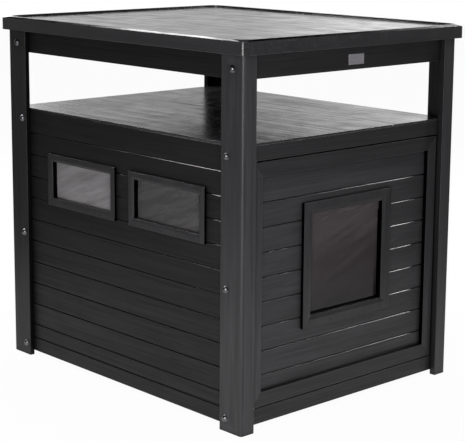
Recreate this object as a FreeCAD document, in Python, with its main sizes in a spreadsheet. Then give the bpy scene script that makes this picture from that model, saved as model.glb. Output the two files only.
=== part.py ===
"""Cat litter box cabinet: a side table with a litter compartment under an open shelf.

Sizes are in millimetres. The origin is at the middle of the footprint on the ground,
Z points up, the door faces -Y and the windowed sides face -X and +X.
"""
import FreeCAD, Part
import math
import os
import re
import Sketcher

Vector = FreeCAD.Vector
Rotation = FreeCAD.Rotation

# The driving dimensions. Each one is a cell of the sheet and can be changed by itself.
SIZES = {
    # overall
    "cabinet_height": 735.0,
    "post_span_width": 588.0,
    "post_span_depth": 735.0,
    # table top
    "top_thickness": 28.0,
    "top_overhang": 11.0,
    "top_corner_radius": 8.0,
    "top_bevel": 3.0,
    "top_bevel_drop": 3.5,
    "crest_corner_radius": 30.0,
    "crest_width": 4.0,
    "field_drop": 4.0,
    "top_skin": 13.0,
    "top_rim": 60.0,
    # corner posts, an L in section
    "side_wing_width": 60.0,
    "side_wing_thickness": 10.0,
    "end_wing_width": 33.0,
    "end_wing_thickness": 13.0,
    "post_corner_round": 6.0,
    "post_edge_round": 1.5,
    # walls of the litter compartment
    "foot_height": 10.0,
    "bottom_rail_height": 30.0,
    "wall_thickness": 12.0,
    "batten_thickness": 18.0,
    "batten_width": 30.0,
    "plank_pitch": 46.7,
    "wall_first_seam": 70.0,
    "seam_width": 3.2,
    "floor_thickness": 9.0,
    # shelf and aprons of the open bay
    "shelf_rail_height": 28.5,
    "shelf_lip": 4.0,
    "shelf_thickness": 15.0,
    "apron_height": 46.0,
    # door
    "door_side_gap": 3.0,
    "door_height": 466.0,
    "door_thickness": 20.0,
    "door_bottom_gap": 2.0,
    "door_top_gap": 3.0,
    "stile_width": 26.0,
    "door_rail_height": 28.0,
    "door_plank_thickness": 9.0,
    "door_plank_setback": 8.4,
    "door_plank_pitch": 47.3,
    "door_first_seam": 98.9,
    "groove_depth": 6.0,
    # door pivots
    "open_door_gap": 1.0,
    "swing_clearance": 1.5,
    "pivot_radius": 4.0,
    "pivot_length": 20.0,
    "bush_wall": 2.0,
    "bush_length": 12.0,
    "bush_flange_radius": 8.5,
    "bush_flange": 1.7,
    # entry in the door
    "entry_width": 200.0,
    "entry_height": 200.0,
    "entry_centre": 2.5,
    "entry_bottom": 193.0,
    "entry_member": 23.0,
    "entry_proud": 6.5,
    "entry_bevel": 8.0,
    "entry_bevel_depth": 3.0,
    "lining_thickness": 4.0,
    "trim_thickness": 6.0,
    "trim_width": 16.0,
    # flap
    "flap_side_gap": 3.0,
    "flap_bottom_gap": 4.0,
    "flap_thickness": 3.0,
    "flap_setback": 12.4,
    "flap_rail_height": 16.0,
    "flap_rail_rise": 4.0,
    "flap_rail_thickness": 7.0,
    "flap_pin_radius": 2.0,
    "flap_pin_length": 3.0,
    "flap_pin_cover": 1.0,
    # side windows
    "window_width": 195.0,
    "window_height": 77.5,
    "window_bottom": 361.5,
    "window_front_centre": -144.5,
    "window_back_centre": 125.7,
    "window_member": 15.5,
    "window_proud": 5.0,
    "window_bevel": 5.0,
    "window_bevel_depth": 2.0,
    "pane_setback": 12.3,
    "pane_thickness": 3.0,
    "retainer_depth": 6.0,
    # fasteners
    "bolt_inset": 15.0,
    "bolt_drop": 7.5,
    "top_bolt_drop": 3.5,
    "bolt_head_radius": 7.5,
    "bolt_head_height": 5.0,
    "bolt_radius": 3.0,
    "bolt_length": 34.0,
    "insert_radius": 4.5,
    "insert_length": 13.0,
    "insert_cover": 9.0,
    "block_depth": 35.0,
    "screw_radius": 2.0,
    "screw_head_radius": 4.5,
    "screw_head_height": 2.5,
    "screw_grip": 12.0,
    "screw_margin": 11.5,
    # magnetic catch
    "catch_length": 36.0,
    "catch_width": 18.0,
    "catch_depth": 16.0,
    "strike_thickness": 1.0,
    "strike_margin": 2.0,
    # blank plate on the front apron
    "plate_width": 42.0,
    "plate_height": 20.0,
    "plate_thickness": 1.0,
    "plate_centre": 11.0,
    # fits
    "clearance": 0.3,
    "running_fit": 0.05,
}

# Places that follow from the driving dimensions, written as formulas of their names.
PLACES = {
    "post_face_x": "post_span_width / 2",
    "post_face_y": "post_span_depth / 2",
    "post_height": "cabinet_height - top_thickness",
    "top_half_x": "post_face_x + top_overhang",
    "top_half_y": "post_face_y + top_overhang",
    "wall_face_x": "post_face_x - side_wing_thickness",
    "wall_face_y": "post_face_y - end_wing_thickness",
    "wall_back_x": "wall_face_x - wall_thickness",
    "wall_back_y": "wall_face_y - wall_thickness",
    "batten_face_x": "wall_back_x - batten_thickness",
    "door_back_y": "wall_face_y - door_thickness",
    "rail_top": "foot_height + bottom_rail_height",
    "door_bottom": "rail_top + door_bottom_gap",
    "door_top": "door_bottom + door_height",
    "shelf_rail_bottom": "door_top + door_top_gap",
    "wall_top": "shelf_rail_bottom + shelf_rail_height",
    "shelf_top": "wall_top + shelf_lip",
    "shelf_core_bottom": "shelf_top - shelf_thickness",
    "floor_bottom": "rail_top - floor_thickness",
    "apron_bottom": "post_height - apron_height",
    "wing_edge_x": "post_face_x - end_wing_width",
    "door_half": "wing_edge_x - door_side_gap",
    # an open door lies beside the post's wing, and its hinge edge turns inside swing_radius
    "pivot_x": "wing_edge_x - open_door_gap - door_thickness / 2",
    "pivot_y": "wall_face_y - door_thickness / 2",
    "swing_radius": "sqrt((door_half - pivot_x)^2 + (door_thickness / 2)^2)",
    "jamb_face_x": "pivot_x + swing_radius + swing_clearance",
    "front_batten_y": "pivot_y - swing_radius - swing_clearance",
    "batten_inner_y": "bolt_line_y - insert_radius - insert_cover",
    # door panel and the groove that holds it
    "door_field_x": "door_half - stile_width",
    "door_field_low": "door_bottom + door_rail_height",
    "door_field_high": "door_top - door_rail_height",
    "panel_front_y": "wall_face_y - door_plank_setback",
    "panel_back_y": "panel_front_y - door_plank_thickness",
    # entry
    "entry_half": "entry_width / 2",
    "entry_top": "entry_bottom + entry_height",
    "entry_front_y": "panel_front_y + entry_proud",
    "lining_back_y": "panel_back_y - trim_thickness",
    "flap_y": "entry_front_y - flap_setback - flap_thickness / 2",
    "flap_rail_swing": "sqrt(flap_rail_rise^2 + (flap_rail_thickness / 2)^2)",
    "flap_z": "entry_top - flap_rail_swing - 2 * clearance",
    "flap_rail_low": "flap_z + flap_rail_rise - flap_rail_height",
    "flap_half": "entry_half - flap_side_gap",
    # side windows
    "window_top": "window_bottom + window_height",
    "window_front_x": "wall_face_x + window_proud",
    "pane_front_x": "window_front_x - pane_setback",
    "pane_back_x": "pane_front_x - pane_thickness",
    # fasteners
    "bolt_line_y": "post_face_y - side_wing_width + bolt_inset",
    "bolt_top_y": "post_face_y - side_wing_width / 2",
    "bolt_low_z": "foot_height + bottom_rail_height / 2",
    "bolt_high_z": "shelf_core_bottom - bolt_drop",
    "bolt_middle_z": "(bolt_low_z + bolt_high_z) / 2",
    "apron_middle_z": "post_height - apron_height / 2",
    "bolt_top_z": "apron_middle_z - top_bolt_drop",
    "block_inner_y": "wall_back_y - block_depth",
    "screw_y": "block_inner_y + screw_margin",
    "screw_x": "wall_back_x - batten_thickness / 2",
    "dome_radius": "(bolt_head_radius^2 + bolt_head_height^2) / (2 * bolt_head_height)",
    "catch_front_y": "door_back_y - strike_thickness - clearance",
    "door_middle": "(door_bottom + door_top) / 2",
}

# A tool that cuts through a piece runs past both of its faces by this much.
OVERRUN = "1"

LEFT, RIGHT = -1, 1
FRONT, BACK = -1, 1
SIDE_NAMES = {LEFT: "left", RIGHT: "right"}
END_NAMES = {FRONT: "front", BACK: "back"}

doc = FreeCAD.newDocument("litter_cabinet")
sheet = doc.addObject("Spreadsheet::Sheet", "Sizes")
nodes = []


def fill_sheet():
    """Writes every driving dimension into the sheet under its own name."""
    for row, (name, size) in enumerate(SIZES.items(), start=1):
        sheet.set(f"A{row}", name)
        sheet.set(f"B{row}", str(size))
        sheet.setAlias(f"B{row}", name)
    doc.recompute()


def sized(formula):
    """Turns a formula of plain names into one that reads the sheet."""
    def swap(match):
        word = match.group(0)
        if word in PLACES:
            return "(" + sized(PLACES[word]) + ")"
        if word in SIZES:
            return "Sizes." + word
        return word
    return re.sub(r"[a-z][a-z_]*", swap, str(formula))


def measured(formula):
    """The number that a formula gives with the sheet as it is."""
    gauge = doc.getObject("gauge") or doc.addObject("Part::Vertex", "gauge")
    gauge.setExpression("X", sized(formula))
    doc.recompute([gauge])
    return float(gauge.X)


def between(sign, inner, outer):
    """The low and high formula of a span on one side of the middle."""
    if sign > 0:
        return inner, outer
    return f"-({outer})", f"-({inner})"


def around(centre, half):
    """The low and high formula of a span about a centre."""
    return f"{centre} - ({half})", f"{centre} + ({half})"


# ---------------------------------------------------------------- building blocks

def node(piece, label):
    """Names a finished sub-part and lists it as a node."""
    piece.Label = label
    nodes.append(piece)
    return piece


def block(name, x, y, z):
    """A straight-sided piece between two formulas along each axis."""
    piece = doc.addObject("Part::Box", name)
    spans = zip(("Length", "Width", "Height"), "xyz", (x, y, z))
    for side, axis, (low, high) in spans:
        piece.setExpression(side, sized(f"({high}) - ({low})"))
        piece.setExpression(f"Placement.Base.{axis}", sized(low))
    return piece


TURNS = {
    "x": Rotation(Vector(0, 1, 0), 90),
    "y": Rotation(Vector(1, 0, 0), -90),
    "z": Rotation(),
}


def rod(name, along, start, end, radius, **centre):
    """A round bar between two formulas along one axis."""
    piece = doc.addObject("Part::Cylinder", name)
    piece.Placement = FreeCAD.Placement(Vector(), TURNS[along])
    piece.setExpression("Radius", sized(radius))
    piece.setExpression("Height", sized(f"({end}) - ({start})"))
    piece.setExpression(f"Placement.Base.{along}", sized(start))
    for axis, formula in centre.items():
        piece.setExpression(f"Placement.Base.{axis}", sized(formula))
    return piece


def group(name, pieces):
    """Several solids in one object."""
    together = doc.addObject("Part::Compound", name)
    together.Links = pieces
    return together


def cut(name, base, *tools):
    """Takes each tool away in turn."""
    for number, tool in enumerate(tools):
        step = doc.addObject("Part::Cut", f"{name}_cut{number}")
        step.Base = base
        step.Tool = tool
        base = step
    return base


def fuse(name, *pieces):
    """Joins pieces into one solid."""
    joined = doc.addObject("Part::MultiFuse", name)
    joined.Shapes = list(pieces)
    joined.Refine = True
    return joined


def common(name, first, second):
    """The space that two pieces share."""
    shared = doc.addObject("Part::MultiCommon", name)
    shared.Shapes = [first, second]
    return shared


def sketch_on(body, plane, offset):
    """An empty sketch on one of the body's own planes, moved along its normal."""
    sketch = body.newObject("Sketcher::SketchObject", body.Name + "_sketch")
    role = plane + "_Plane"
    support = next(item for item in body.Origin.OriginFeatures if item.Role == role)
    sketch.AttachmentSupport = (support, [""])
    sketch.MapMode = "FlatFace"
    sketch.setExpression("AttachmentOffset.Base.z", sized(offset))
    return sketch


def tie_point(sketch, geometry, point, across, up):
    """Holds one point of a sketch at two formulas from the origin."""
    for kind, formula in (("DistanceX", across), ("DistanceY", up)):
        index = sketch.addConstraint(Sketcher.Constraint(kind, -1, 1, geometry, point, 1.0))
        sketch.setExpression(f"Constraints[{index}]", sized(formula))


def polygon(sketch, corners):
    """A closed outline of straight lines with every corner tied to its formulas."""
    count = len(corners)
    first_guess = Vector(10, 0, 0)
    turn = Rotation(Vector(0, 0, 1), 360 / count)
    ends = [first_guess]
    for _ in corners:
        ends.append(turn.multVec(ends[-1]))
    for number in range(count):
        sketch.addGeometry(Part.LineSegment(ends[number], ends[number + 1]), False)
    for number in range(count):
        following = (number + 1) % count
        sketch.addConstraint(Sketcher.Constraint("Coincident", number, 2, following, 1))
    for number, (across, up) in enumerate(corners):
        tie_point(sketch, number, 1, across, up)


def pad(body, sketch, length):
    """Thickens a sketch along its normal."""
    thick = body.newObject("PartDesign::Pad", body.Name + "_pad")
    thick.Profile = sketch
    thick.setExpression("Length", sized(length))
    sketch.Visibility = False
    return thick


def prism(name, plane, corners, low, high):
    """A body of one straight-lined outline, thickened between two formulas."""
    body = doc.addObject("PartDesign::Body", name)
    offset = f"-({high})" if plane == "XZ" else low
    sketch = sketch_on(body, plane, offset)
    polygon(sketch, corners)
    pad(body, sketch, f"({high}) - ({low})")
    return body


def upright_edges(shape, across, up):
    """Names of the edges that stand on one point of the plan."""
    names = []
    for number, edge in enumerate(shape.Edges, start=1):
        ends = [vertex.Point for vertex in edge.Vertexes]
        if len(ends) != 2:
            continue
        on_spot = all(abs(end.x - across) < 0.01 and abs(end.y - up) < 0.01 for end in ends)
        if on_spot:
            names.append(f"Edge{number}")
    return names


def round_edges(body, edges, radius):
    """Rounds the named edges of the body's last feature."""
    last = body.Tip
    rounding = body.newObject("PartDesign::Fillet", last.Name + "_round")
    rounding.Base = (last, edges)
    rounding.setExpression("Radius", sized(radius))
    doc.recompute()
    return rounding


def rounded_rectangle(sketch, half_across, half_up, radius):
    """A rectangle with round corners about the origin: four arcs and the lines between."""
    guess, turn = 100.0, 10.0
    signs = [(1, 1), (-1, 1), (-1, -1), (1, -1)]
    for number, (right, up) in enumerate(signs):
        circle = Part.Circle(Vector(right * guess, up * guess, 0), Vector(0, 0, 1), turn)
        start = math.radians(90 * number)
        sketch.addGeometry(Part.ArcOfCircle(circle, start, start + math.pi / 2), False)
    for number, (right, up) in enumerate(signs):
        following = (number + 1) % 4
        ends = sketch.getPoint(number, 2), sketch.getPoint(following, 1)
        side = sketch.addGeometry(Part.LineSegment(*ends), False)
        sketch.addConstraint(Sketcher.Constraint("Coincident", side, 1, number, 2))
        sketch.addConstraint(Sketcher.Constraint("Coincident", side, 2, following, 1))
        level, upright = ("Horizontal", "Vertical") if number % 2 == 0 else ("Vertical", "Horizontal")
        sketch.addConstraint(Sketcher.Constraint(level, number, 3, number, 1))
        sketch.addConstraint(Sketcher.Constraint(upright, number, 3, number, 2))
        index = sketch.addConstraint(Sketcher.Constraint("Radius", number, turn))
        sketch.setExpression(f"Constraints[{index}]", sized(radius))
        tie_point(sketch, number, 3, f"{right} * ({half_across} - ({radius}))",
                  f"{up} * ({half_up} - ({radius}))")


# ---------------------------------------------------------------- shared tools

def bolt_spots():
    """The level and the distance from the middle of each bolt on a post."""
    return [
        ("bolt_line_y", "bolt_low_z"),
        ("bolt_line_y", "bolt_middle_z"),
        ("bolt_line_y", "bolt_high_z"),
        ("bolt_top_y", "bolt_top_z"),
    ]


def side_rods(name, side, inner, outer, radius):
    """One rod across the side wall at every bolt of that side."""
    rods = []
    for end in (FRONT, BACK):
        for number, (out, level) in enumerate(bolt_spots()):
            low, high = between(side, inner, outer)
            rods.append(rod(f"{name}_{END_NAMES[end]}{number}", "x", low, high, radius,
                            y=f"{end} * ({out})", z=level))
    return rods


def bolt_bores(side):
    """The bores for the bolt shanks of one side."""
    name = f"bolt_bores_{SIDE_NAMES[side]}"
    return group(name, side_rods(name, side, f"batten_face_x + {OVERRUN}",
                                 f"post_face_x + {OVERRUN}", "bolt_radius + running_fit"))


def insert_bores(side):
    """The wider bores behind the wall that hold the threaded inserts of one side."""
    name = f"insert_bores_{SIDE_NAMES[side]}"
    return group(name, side_rods(name, side, "wall_back_x - insert_length", "wall_back_x",
                                 "insert_radius"))


def seam_levels(first, last, pitch="plank_pitch"):
    """The levels of the seams between planks, from the first seam up to below the last."""
    pitches = (measured(last) - measured(first)) / measured(pitch)
    narrowest_plank = 0.3
    count = math.floor(pitches - narrowest_plank) + 1
    return [f"{first} + {number} * {pitch}" for number in range(count)]


def seam_bars(name, plane, face, span, seams):
    """Square bars laid on edge, which cut a V into the wall's face along every seam."""
    side = "seam_width * sqrt(2) / 2"
    half = "seam_width / 2"
    bars = []
    for number, seam in enumerate(seams):
        if plane == "YZ":
            bar = block(f"{name}{number}", ("0", side), span, ("0", side))
            bar.Placement.Rotation = Rotation(Vector(0, 1, 0), 45)
            bar.setExpression("Placement.Base.x", sized(f"{face} - {half}"))
            bar.setExpression("Placement.Base.z", sized(seam))
        else:
            bar = block(f"{name}{number}", span, ("0", side), ("0", side))
            bar.Placement.Rotation = Rotation(Vector(1, 0, 0), 45)
            bar.setExpression("Placement.Base.y", sized(face))
            bar.setExpression("Placement.Base.z", sized(f"{seam} - {half}"))
        bars.append(bar)
    return group(name, bars)


def planks(name, plane, across, deep, levels, tools):
    """A wall of planks, one solid for each pair of neighbouring levels."""
    pieces = []
    for number, (low, high) in enumerate(zip(levels, levels[1:])):
        board = framed_block(f"{name}_board{number}", plane, across, deep, (low, high))
        pieces.append(cut(f"{name}_plank{number}", board, *tools))
    return group(name, pieces)


def framed_block(name, plane, across, deep, up):
    """A block that faces out of one upright plane: across and up in it, deep along its normal."""
    if plane == "YZ":
        return block(name, deep, across, up)
    return block(name, across, deep, up)


def tapered_plug(name, plane, sections):
    """A solid between two outlines in one upright plane, each given with its level."""
    body = doc.addObject("PartDesign::Body", name)
    sketches = []
    for corners, level in sections:
        sketch = sketch_on(body, plane, f"-({level})" if plane == "XZ" else level)
        polygon(sketch, corners)
        sketches.append(sketch)
    taper = body.newObject("PartDesign::AdditiveLoft", name + "_taper")
    taper.Profile = sketches[0]
    taper.Sections = sketches[1:]
    taper.Ruled = True
    return body


def corners_of(outline):
    """The four corners of an outline that is given as two spans."""
    (left, right), (bottom, top) = outline
    return [(left, bottom), (right, bottom), (right, top), (left, top)]


def mitred_frame(name, plane, centre, half, low, high, member, flange, lining, bevel, bores=()):
    """Four mitred mouldings round an opening: a flange on the face and a lining in the hole.

    The bevel is its width on the face, then the level of its foot and that of the face.
    """
    hole_side = (around(centre, half), (low, high))
    both = (f"min({flange[0]}; {lining[0]})", f"max({flange[1]}; {lining[1]})")

    def grown(edge):
        return around(centre, f"{half} + {edge}"), (f"{low} - ({edge})", f"{high} + {edge}")

    def plate(part, outline, deep):
        return framed_block(f"{name}_{part}", plane, outline[0], deep, outline[1])

    solid = fuse(f"{name}_solid", plate("flange", grown(member), flange),
                 plate("lining", grown("lining_thickness"), lining))
    bevel_width, bevel_foot, face = bevel
    inner, outer = corners_of(hole_side), corners_of(grown(member))
    flare = tapered_plug(f"{name}_flare", plane,
                         [(inner, bevel_foot), (corners_of(grown(bevel_width)), face)])
    ring = cut(f"{name}_ring", solid, plate("opening", hole_side, both), flare, *bores)
    pieces = []
    for number in range(4):
        following = (number + 1) % 4
        outline = [outer[number], outer[following], inner[following], inner[number]]
        sector = prism(f"{name}_sector{number}", plane, outline, *both)
        pieces.append(common(f"{name}_member{number}", ring, sector))
    return group(name, pieces)


# ---------------------------------------------------------------- table top and posts

def make_table_top(screw_bores):
    """A moulded board: a field inside a raised crest, and a deep rim that hides a hollow."""
    body = doc.addObject("PartDesign::Body", "top_moulding")
    bevel_foot = "cabinet_height - top_bevel_drop"
    outline = ("top_half_x", "top_half_y", "top_corner_radius")
    base = sketch_on(body, "XY", "post_height")
    rounded_rectangle(base, *outline)
    pad(body, base, f"{bevel_foot} - post_height")
    edge = sketch_on(body, "XY", bevel_foot)
    rounded_rectangle(edge, *outline)
    crest = sketch_on(body, "XY", "cabinet_height")
    rounded_rectangle(crest, "top_half_x - top_bevel", "top_half_y - top_bevel",
                      "crest_corner_radius")
    slope = body.newObject("PartDesign::AdditiveLoft", "top_slope")
    slope.Profile = edge
    slope.Sections = [crest]
    slope.Ruled = True
    recess = doc.addObject("PartDesign::Body", "top_field")
    field = sketch_on(recess, "XY", "cabinet_height - field_drop")
    rounded_rectangle(field, "top_half_x - top_bevel - crest_width",
                      "top_half_y - top_bevel - crest_width", "crest_corner_radius - crest_width")
    pad(recess, field, f"field_drop + {OVERRUN}")
    hollow = block("top_hollow", around("0", "top_half_x - top_rim"),
                   around("0", "top_half_y - top_rim"),
                   (f"post_height - {OVERRUN}", "cabinet_height - top_skin"))
    node(cut("top", body, recess, hollow, screw_bores), "table_top")


def make_post(side, end, bores):
    """A corner post, L in section, with its outer corner and its wing edges rounded."""
    name = f"post_{END_NAMES[end]}_{SIDE_NAMES[side]}"
    wing_end_y = "post_face_y - side_wing_width"
    plan = [
        ("post_face_x", "post_face_y"),
        ("post_face_x", wing_end_y),
        ("wall_face_x", wing_end_y),
        ("wall_face_x", "wall_face_y"),
        ("wing_edge_x", "wall_face_y"),
        ("wing_edge_x", "post_face_y"),
    ]
    corners = [(f"{side} * ({across})", f"{end} * ({up})") for across, up in plan]
    body = prism(name + "_bar", "XY", corners, "0", "post_height")
    doc.recompute()
    face_x, face_y = side * measured("post_face_x"), end * measured("post_face_y")
    round_edges(body, upright_edges(body.Shape, face_x, face_y), "post_corner_round")
    wing_edges = upright_edges(body.Shape, face_x, end * measured(wing_end_y))
    wing_edges += upright_edges(body.Shape, side * measured("wing_edge_x"), face_y)
    round_edges(body, wing_edges, "post_edge_round")
    node(cut(name, body, bores), name)


# ---------------------------------------------------------------- walls, floor and shelf

SIDE_SPAN_Y = around("0", "wall_face_y")
END_SPAN_X = around("0", "wall_back_x")
FRONT_DEEP = between(FRONT, "door_back_y", "wall_face_y")


def wall_deep_x(side):
    return between(side, "wall_back_x", "wall_face_x")


def wall_deep_y(end):
    return between(end, "wall_back_y", "wall_face_y")


def batten_deep_x(side):
    return between(side, "batten_face_x", "wall_back_x")


def window_centres():
    return {FRONT: "window_front_centre", BACK: "window_back_centre"}


def window_outline(centre, grown):
    """The outline of a window's opening, larger all round by one formula."""
    return (around(centre, f"window_width / 2 + {grown}"),
            (f"window_bottom - ({grown})", f"window_top + {grown}"))


def make_side_wall(side, bores):
    """One long side: its bottom rail and the planks above, with the two window holes."""
    name = SIDE_NAMES[side]
    seams = seam_levels("wall_first_seam", "wall_top")
    levels = ["rail_top", *seams, "wall_top"]
    bars = seam_bars(f"seams_{name}", "YZ", f"{side} * (wall_face_x)", SIDE_SPAN_Y, levels)
    rail = block(f"rail_{name}", wall_deep_x(side), SIDE_SPAN_Y, ("foot_height", "rail_top"))
    node(cut(f"bottom_rail_{name}", rail, bars, bores), f"bottom_rail_{name}")
    holes = []
    for end, centre in window_centres().items():
        across, up = window_outline(centre, "lining_thickness")
        low, high = wall_deep_x(side)
        deep = (f"{low} - {OVERRUN}", f"{high} + {OVERRUN}")
        holes.append(framed_block(f"hole_{name}_{END_NAMES[end]}", "YZ", across, deep, up))
    holes = group(f"window_holes_{name}", holes)
    wall = planks(f"wall_{name}", "YZ", SIDE_SPAN_Y, wall_deep_x(side), levels,
                  [bars, holes, bores])
    node(wall, f"side_planks_{name}")


def make_back_wall():
    """The closed back: its bottom rail and the planks above."""
    seams = seam_levels("wall_first_seam", "wall_top")
    levels = ["rail_top", *seams, "wall_top"]
    bars = seam_bars("seams_back", "XZ", "wall_face_y", END_SPAN_X, levels)
    rail = block("rail_back", END_SPAN_X, wall_deep_y(BACK), ("foot_height", "rail_top"))
    node(cut("bottom_rail_back", rail, bars), "bottom_rail_back")
    node(planks("wall_back", "XZ", END_SPAN_X, wall_deep_y(BACK), levels, [bars]), "back_planks")


def make_front_frame(pivot_sockets):
    """The fixed frame that the door closes into: two rails and two jambs."""
    bottom = block("rail_front", END_SPAN_X, FRONT_DEEP, ("foot_height", "rail_top"))
    node(cut("bottom_rail_front", bottom, pivot_sockets), "bottom_rail_front")
    top = block("rail_shelf", END_SPAN_X, FRONT_DEEP, ("shelf_rail_bottom", "wall_top"))
    node(cut("shelf_rail_front", top, pivot_sockets), "shelf_rail_front")
    for side in (LEFT, RIGHT):
        name = f"front_jamb_{SIDE_NAMES[side]}"
        jamb = block(name, between(side, "jamb_face_x", "wall_back_x"), FRONT_DEEP,
                     ("rail_top", "shelf_rail_bottom"))
        node(jamb, name)


def make_battens(shank_bores, wide_bores):
    """The upright battens that the planks and the posts are fixed to."""
    upright = ("rail_top", "shelf_core_bottom")
    corners = []
    for side in (LEFT, RIGHT):
        for end in (FRONT, BACK):
            outer = "front_batten_y" if end == FRONT else "wall_back_y"
            name = f"batten_{END_NAMES[end]}_{SIDE_NAMES[side]}"
            batten = block(name, batten_deep_x(side), between(end, "batten_inner_y", outer), upright)
            corners.append(cut(name, batten, wide_bores[side], shank_bores[side]))
    node(group("battens_corner", corners), "corner_battens")
    middle = "(window_front_centre + window_back_centre) / 2"
    panels = [
        block(f"batten_middle_{SIDE_NAMES[side]}", batten_deep_x(side),
              around(middle, "batten_width / 2"), upright)
        for side in (LEFT, RIGHT)
    ]
    back_deep = ("wall_back_y - batten_thickness", "wall_back_y")
    panels.append(block("batten_middle_back", around("0", "batten_width / 2"), back_deep, upright))
    node(group("battens_panel", panels), "panel_battens")


def make_floor(shank_bores, wide_bores):
    """The floor board and the cleats under its edges."""
    height = ("foot_height", "floor_bottom")
    cleats = []
    for side in (LEFT, RIGHT):
        name = f"cleat_{SIDE_NAMES[side]}"
        cleat = block(name, batten_deep_x(side), ("-(door_back_y)", "wall_back_y"), height)
        cleats.append(cut(name, cleat, wide_bores[side], shank_bores[side]))
    between_cleats = around("0", "batten_face_x")
    cleats.append(block("cleat_front", between_cleats,
                        ("-(door_back_y)", "batten_thickness - (door_back_y)"), height))
    cleats.append(block("cleat_back", between_cleats,
                        ("wall_back_y - batten_thickness", "wall_back_y"), height))
    node(group("cleats", cleats), "floor_cleats")
    board = block("floor", around("0", "wall_back_x - clearance"),
                  ("clearance - (door_back_y)", "wall_back_y - clearance"),
                  ("floor_bottom", "rail_top"))
    node(board, "floor_board")


def make_shelf():
    """The shelf: a board between the walls with a thin lip that lies on top of them."""
    core = block("shelf_core", around("0", "wall_back_x - clearance"),
                 ("clearance - (door_back_y)", "wall_back_y - clearance"),
                 ("shelf_core_bottom", "wall_top"))
    lip = block("shelf_edge", around("0", "wall_face_x"), SIDE_SPAN_Y, ("wall_top", "shelf_top"))
    node(fuse("shelf", core, lip), "shelf_board")


def make_aprons(bores, wide_bores, screw_bores):
    """The four aprons under the top and the blocks in their corners."""
    height = ("apron_bottom", "post_height")
    for side in (LEFT, RIGHT):
        name = f"apron_{SIDE_NAMES[side]}"
        apron = block(name + "_board", wall_deep_x(side), SIDE_SPAN_Y, height)
        node(cut(name, apron, bores[side]), name)
    for end in (FRONT, BACK):
        name = f"apron_{END_NAMES[end]}"
        node(block(name, END_SPAN_X, wall_deep_y(end), height), name)
    blocks = []
    for side in (LEFT, RIGHT):
        for end in (FRONT, BACK):
            name = f"block_{END_NAMES[end]}_{SIDE_NAMES[side]}"
            piece = block(name, batten_deep_x(side),
                          between(end, "block_inner_y", "wall_back_y"), height)
            blocks.append(cut(name, piece, wide_bores[side], bores[side], screw_bores))
    node(group("blocks", blocks), "corner_blocks")


# ---------------------------------------------------------------- fasteners and small fittings

def make_bolts(side):
    """Domed bolts that hold one side's posts to its walls and aprons."""
    name = SIDE_NAMES[side]
    shanks = side_rods(f"shank_{name}", side, "post_face_x - bolt_length", "post_face_x",
                       "bolt_radius")
    bolts = []
    for number, shank in enumerate(shanks):
        dome = doc.addObject("Part::Sphere", f"dome_{name}{number}")
        dome.Placement = FreeCAD.Placement(Vector(), Rotation(Vector(0, 1, 0), side * 90))
        dome.setExpression("Radius", sized("dome_radius"))
        dome.setExpression("Angle1", sized("asin(1 - bolt_head_height / dome_radius)"))
        centre = f"{side} * (post_face_x + bolt_head_height - dome_radius)"
        dome.setExpression("Placement.Base.x", sized(centre))
        for axis in "yz":
            dome.setExpression(f"Placement.Base.{axis}", f"{shank.Name}.Placement.Base.{axis}")
        bolts.append(fuse(f"bolt_{name}{number}", dome, shank))
    node(group(f"bolts_{name}_set", bolts), f"bolts_{name}")


def make_inserts(side, bores):
    """Threaded sleeves behind the walls, which the bolts screw into."""
    name = SIDE_NAMES[side]
    sleeves = side_rods(f"sleeve_{name}", side, "wall_back_x - insert_length", "wall_back_x",
                        "insert_radius")
    inserts = [cut(f"insert_{name}{number}", sleeve, bores)
               for number, sleeve in enumerate(sleeves)]
    node(group(f"inserts_{name}_set", inserts), f"inserts_{name}")


def corner_rods(name, start, end_level, radius):
    """One upright rod in the middle of each corner block."""
    rods = []
    for side in (LEFT, RIGHT):
        for end in (FRONT, BACK):
            rods.append(rod(f"{name}_{END_NAMES[end]}_{SIDE_NAMES[side]}", "z", start, end_level,
                            radius, x=f"{side} * (screw_x)", y=f"{end} * (screw_y)"))
    return rods


def make_top_screws():
    """Screws that hold the table top down on the corner blocks."""
    heads = corner_rods("screw_head", "apron_bottom - screw_head_height", "apron_bottom",
                        "screw_head_radius")
    shanks = corner_rods("screw_shank", "apron_bottom", "post_height + screw_grip",
                         "screw_radius")
    screws = [fuse(f"screw{number}", head, shank)
              for number, (head, shank) in enumerate(zip(heads, shanks))]
    node(group("screws", screws), "top_screws")


def make_plate():
    """A small blank plate on the front apron."""
    plate = block("plate", around("plate_centre", "plate_width / 2"),
                  between(FRONT, "wall_face_y", "wall_face_y + plate_thickness"),
                  around("bolt_top_z", "plate_height / 2"))
    node(plate, "blank_plate")


def make_catch():
    """The magnetic catch beside the door's free edge and the strike plate on the door."""
    inner = "batten_face_x - catch_width"
    height = around("door_middle", "catch_length / 2")
    catch = block("catch", (inner, "batten_face_x"),
                  between(FRONT, "catch_front_y - catch_depth", "catch_front_y"), height)
    node(catch, "magnet_catch")
    strike = block("strike", (f"{inner} + strike_margin", "batten_face_x - strike_margin"),
                   between(FRONT, "door_back_y - strike_thickness", "door_back_y"), height)
    node(strike, "strike_plate")


# ---------------------------------------------------------------- windows

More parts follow.
